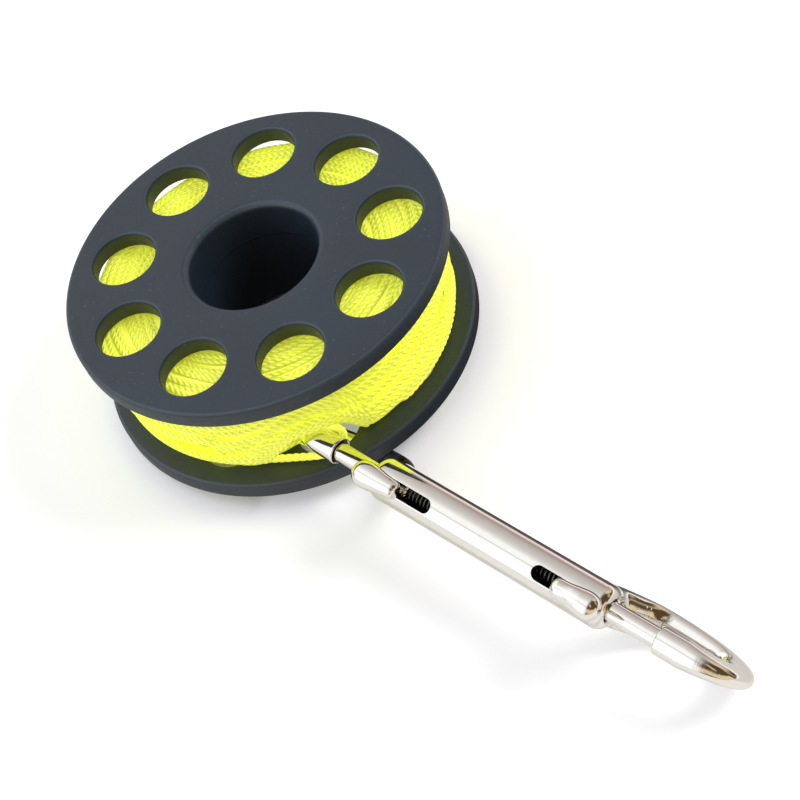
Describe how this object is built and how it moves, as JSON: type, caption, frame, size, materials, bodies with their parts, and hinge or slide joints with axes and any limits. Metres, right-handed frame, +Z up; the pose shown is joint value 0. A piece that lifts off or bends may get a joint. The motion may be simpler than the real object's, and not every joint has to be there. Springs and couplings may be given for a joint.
{
  "type": "finger spool",
  "caption": "Two-flange finger spool wound with bright braided line, with a double-ended bolt snap hooked through a flange hole and held by a bight of the line.",
  "frame": {"origin": "middle of the footprint, on the surface that the object lies on", "axes": "+Z up, +X along the bolt snap's gates from the spool to the snap's free end"},
  "size_m": [0.1862, 0.0908, 0.0358],
  "materials": {
    "spool_plastic": "satin moulded black",
    "braided_line": "braided fluorescent yellow",
    "plated_casting": "polished nickel plate",
    "plated_gate": "polished nickel plate",
    "spring_wire": "drawn spring wire"
  },
  "bodies": {
    "spool": {"lower_flange": "spool_plastic", "upper_flange": "spool_plastic", "line_core": "braided_line", "line_winding": "braided_line", "line_bight": "braided_line"},
    "snap": {"snap_body": "plated_casting", "near_gate_spring": "spring_wire", "far_gate_spring": "spring_wire"},
    "near_gate_slide": {"near_gate": "plated_gate", "near_thumb_stud": "plated_gate"},
    "far_gate_slide": {"far_gate": "plated_gate", "far_thumb_stud": "plated_gate"}
  },
  "joints": [
    {"name": "snap_swing", "type": "hinge", "parent": "spool", "child": "snap", "pos_m": [-0.01042, -0.02217, 0.00703], "axis": [-0.515, -0.8572, -0.0035], "range_deg": [0, 30], "deforming": ["line_bight"]},
    {"name": "near_gate_pull", "type": "slide", "parent": "snap", "child": "near_gate_slide", "axis": [1, 0, 0], "range_m": [0, 0.0089], "stiffness_N_per_m": 250, "springref_m": -0.008, "deforming": ["near_gate_spring"]},
    {"name": "far_gate_pull", "type": "slide", "parent": "snap", "child": "far_gate_slide", "axis": [-1, 0, 0], "range_m": [0, 0.0089], "stiffness_N_per_m": 250, "springref_m": -0.008, "deforming": ["far_gate_spring"]}
  ]
}
